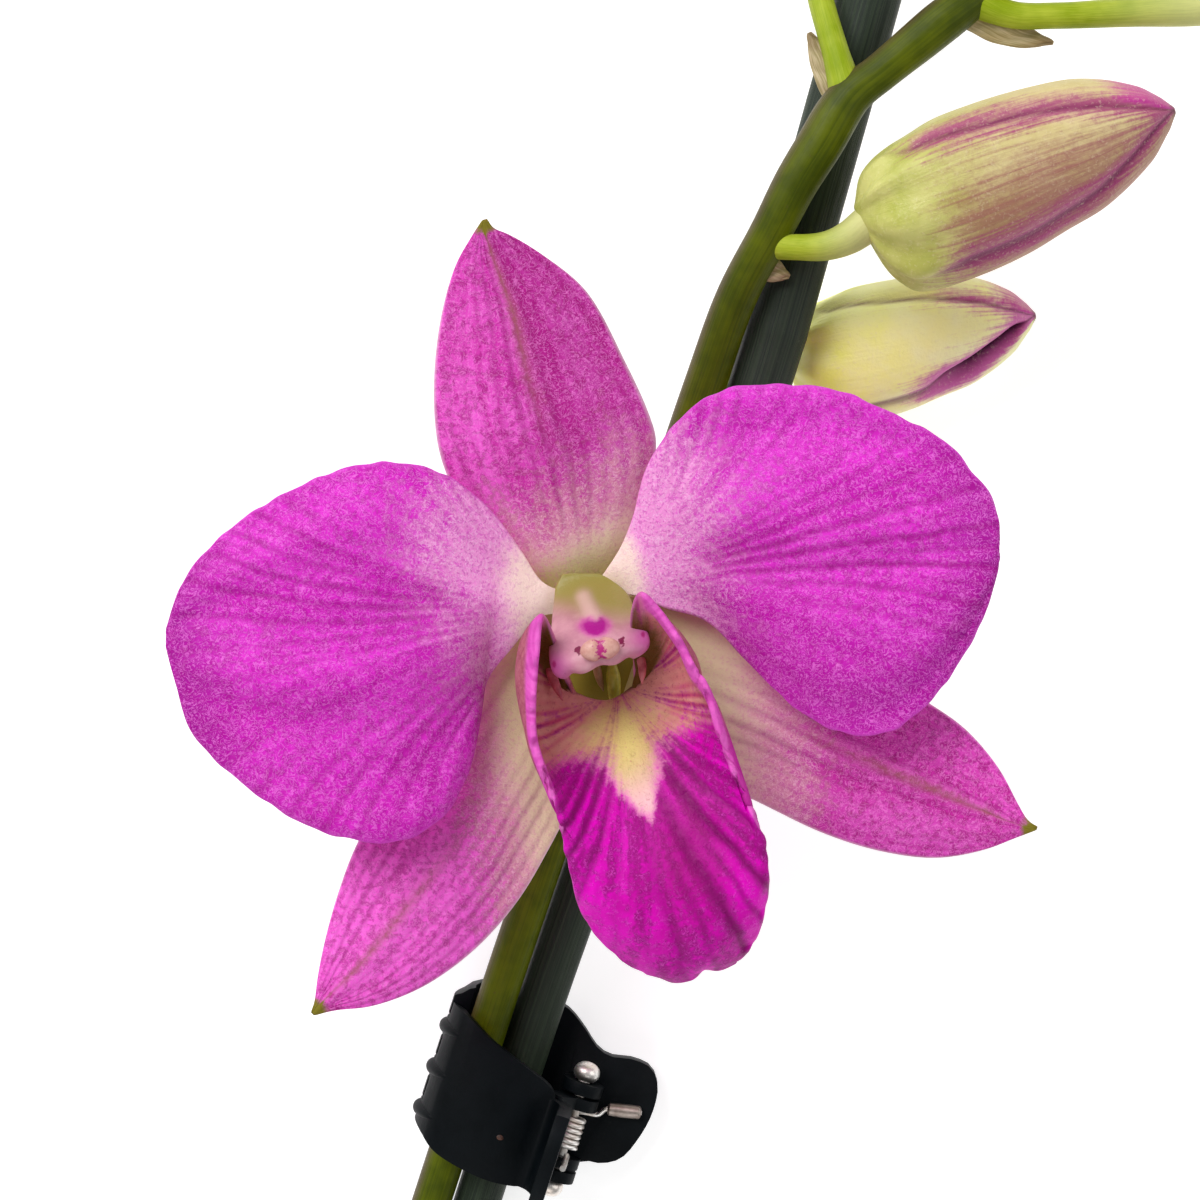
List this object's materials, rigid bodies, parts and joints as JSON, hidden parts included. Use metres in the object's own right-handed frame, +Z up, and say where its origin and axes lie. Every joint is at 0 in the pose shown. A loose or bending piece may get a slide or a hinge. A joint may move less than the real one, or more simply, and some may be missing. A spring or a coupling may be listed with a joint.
{
  "type": "dendrobium orchid spray with support stick",
  "caption": "Cut flowering spray of a purple dendrobium orchid, open bloom and buds on an arching stem, held to a slim cane by a sprung claw clip; lies face up.",
  "frame": {"origin": "on the surface that the spray lies on, under the middle of the whole spray", "axes": "+Z up out of the face of the bloom, +Y towards the tip of the spray with the bloom upright, +X to the bloom's right as it is looked at"},
  "size_m": [0.1086, 0.1632, 0.0377],
  "materials": {
    "stem": "fresh olive green stem, satin",
    "bud": "yellow-green bud with purple veins, satin",
    "petal": "purple petal with darker veins, soft sheen",
    "lip": "deep magenta lip with a cream patch, soft sheen",
    "column": "pale pink, waxy",
    "cane": "dark green stained cane, matt",
    "clip": "black moulded plastic, soft gloss",
    "spring": "bright spring wire and pin"
  },
  "bodies": {
    "spray": {"stem": "stem", "bud_1": "bud", "bud_2": "bud", "bud_3": "bud", "bud_4": "bud", "perianth": "petal", "lip": "lip", "column": "column", "stake": "cane", "clip_back_jaw": "clip", "clip_pin": "spring", "clip_spring": "spring"},
    "front_jaw": {"clip_front_jaw": "clip", "clip_spring_leg": "spring"}
  },
  "joints": [
    {"name": "clip_hinge", "type": "hinge", "parent": "spray", "child": "front_jaw", "pos_m": [-0.02099, -0.05689, 0.00545], "axis": [0.3089, 0.9511, 0], "range_deg": [0, 35], "stiffness_Nm_per_rad": 0.02, "springref_deg": -45.84}
  ]
}
